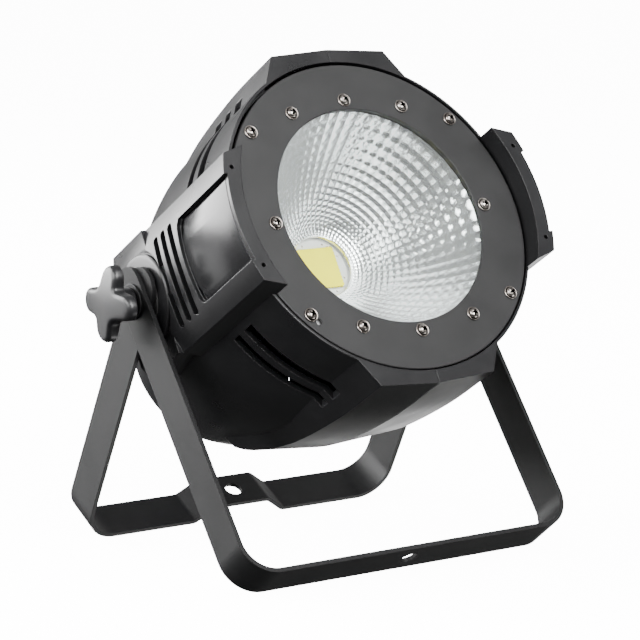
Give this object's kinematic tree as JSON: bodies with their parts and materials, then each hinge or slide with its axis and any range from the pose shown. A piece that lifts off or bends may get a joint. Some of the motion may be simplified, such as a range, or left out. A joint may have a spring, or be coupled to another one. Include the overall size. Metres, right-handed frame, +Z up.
{
  "type": "par can light",
  "caption": "Floor or truss par can stage light: a large LED and faceted reflector in a black can that tilts on a folding A-shaped yoke with lobed clamp knobs.",
  "frame": {"origin": "middle of the bounding box, on the floor", "axes": "+Z up; X along the tilt axis, +X on the light's own left; the beam points towards -Y and 31 degrees up"},
  "size_m": [0.308, 0.311, 0.3384],
  "materials": {
    "cast_black": "satin black paint on die-cast metal",
    "panel_black": "semi-gloss black",
    "bezel_black": "matt black paint",
    "yoke_black": "satin black powder coat on steel strip",
    "knob_black": "moulded, semi-gloss",
    "steel": "nickel plated",
    "aluminium": "plain",
    "reflector_metal": "bright faceted",
    "glass": "clear",
    "rubber": "matt",
    "ceramic_white": "matt",
    "phosphor": "matt yellow silicone",
    "plastic_black": "moulded",
    "socket_blue": "moulded",
    "board_green": "solder mask",
    "display": "glossy window",
    "brass": "turned"
  },
  "bodies": {
    "front_bracket": {"front_bracket": "yoke_black"},
    "rear_bracket": {"rear_bracket": "yoke_black"},
    "knob_left": {"knob_left": "knob_black"},
    "knob_right": {"knob_right": "knob_black"},
    "washer_left": {"washer_left": "steel"},
    "washer_right": {"washer_right": "steel"},
    "fan_rotor": {"fan_rotor": "plastic_black"},
    "fuse_cap": {"fuse_cap": "plastic_black"},
    "menu_button_1": {"menu_button_1": "rubber"},
    "menu_button_2": {"menu_button_2": "rubber"},
    "menu_button_3": {"menu_button_3": "rubber"},
    "menu_button_4": {"menu_button_4": "rubber"},
    "can": {"bezel_screw_01": "steel", "bezel_screw_02": "steel", "bezel_screw_03": "steel", "bezel_screw_04": "steel", "bezel_screw_05": "steel", "bezel_screw_06": "steel", "bezel_screw_07": "steel", "bezel_screw_08": "steel", "bezel_screw_09": "steel", "bezel_screw_10": "steel", "bezel_screw_11": "steel", "bezel_screw_12": "steel", "clamp_ring": "aluminium", "cob_holder": "ceramic_white", "control_board": "board_green", "display_window": "display", "dmx_in_socket": "plastic_black", "dmx_out_socket": "plastic_black", "fan_frame": "plastic_black", "friction_washer_left": "rubber", "friction_washer_right": "rubber", "front_bezel": "bezel_black", "front_glass": "glass", "fuse_holder": "plastic_black", "glass_gasket": "rubber", "heat_sink": "aluminium", "housing_left": "cast_black", "housing_right": "cast_black", "led_cob": "ceramic_white", "led_driver": "aluminium", "led_phosphor": "phosphor", "pivot_insert_left": "brass", "pivot_insert_right": "brass", "power_in_socket": "socket_blue", "power_out_socket": "ceramic_white", "rear_cover": "cast_black", "rear_cover_screw_1": "steel", "rear_cover_screw_2": "steel", "rear_cover_screw_3": "steel", "rear_cover_screw_4": "steel", "reflector": "reflector_metal", "safety_eyelet": "steel", "side_panel_left": "panel_black", "side_panel_right": "panel_black", "sink_mount_left": "steel", "sink_mount_right": "steel"}
  },
  "joints": [
    {"name": "can_tilt", "type": "hinge", "parent": "front_bracket", "child": "can", "pos_m": [0, 0.00615, 0.17674], "axis": [1, 0, 0], "range_deg": [-120, 150]},
    {"name": "rear_bracket_fold", "type": "hinge", "parent": "front_bracket", "child": "rear_bracket", "pos_m": [0, 0.00615, 0.17674], "axis": [1, 0, 0], "range_deg": [-64, 114]},
    {"name": "washer_left_slide", "type": "slide", "parent": "can", "child": "washer_left", "axis": [-1, 0, 0], "range_m": [0, 0.0019]},
    {"name": "knob_left_turn", "type": "hinge", "parent": "washer_left", "child": "knob_left", "pos_m": [-0.149, 0.00615, 0.17674], "axis": [-1, 0, 0], "range_deg": [0, 547.5]},
    {"name": "washer_right_slide", "type": "slide", "parent": "can", "child": "washer_right", "axis": [1, 0, 0], "range_m": [0, 0.0019]},
    {"name": "knob_right_turn", "type": "hinge", "parent": "washer_right", "child": "knob_right", "pos_m": [0.149, 0.00615, 0.17674], "axis": [1, 0, 0], "range_deg": [0, 547.5]},
    {"name": "fan_spin", "type": "hinge", "parent": "can", "child": "fan_rotor", "pos_m": [0, 0.04043, 0.15264], "axis": [0, -0.8572, 0.515], "continuous": true},
    {"name": "menu_button_1_press", "type": "slide", "parent": "can", "child": "menu_button_1", "axis": [0, -0.8572, 0.515], "range_m": [0, 0.001], "stiffness_N_per_m": 200},
    {"name": "menu_button_2_press", "type": "slide", "parent": "can", "child": "menu_button_2", "axis": [0, -0.8572, 0.515], "range_m": [0, 0.001], "stiffness_N_per_m": 200},
    {"name": "menu_button_3_press", "type": "slide", "parent": "can", "child": "menu_button_3", "axis": [0, -0.8572, 0.515], "range_m": [0, 0.001], "stiffness_N_per_m": 200},
    {"name": "menu_button_4_press", "type": "slide", "parent": "can", "child": "menu_button_4", "axis": [0, -0.8572, 0.515], "range_m": [0, 0.001], "stiffness_N_per_m": 200},
    {"name": "fuse_cap_turn", "type": "hinge", "parent": "can", "child": "fuse_cap", "pos_m": [0, 0.10488, 0.08767], "axis": [0, 0.8572, -0.515], "range_deg": [0, 60]}
  ],
  "couplings": [
    {"joint": "knob_left_turn", "follows": "washer_left_slide", "rad_per_m": 5026.5},
    {"joint": "knob_right_turn", "follows": "washer_right_slide", "rad_per_m": 5026.5}
  ]
}
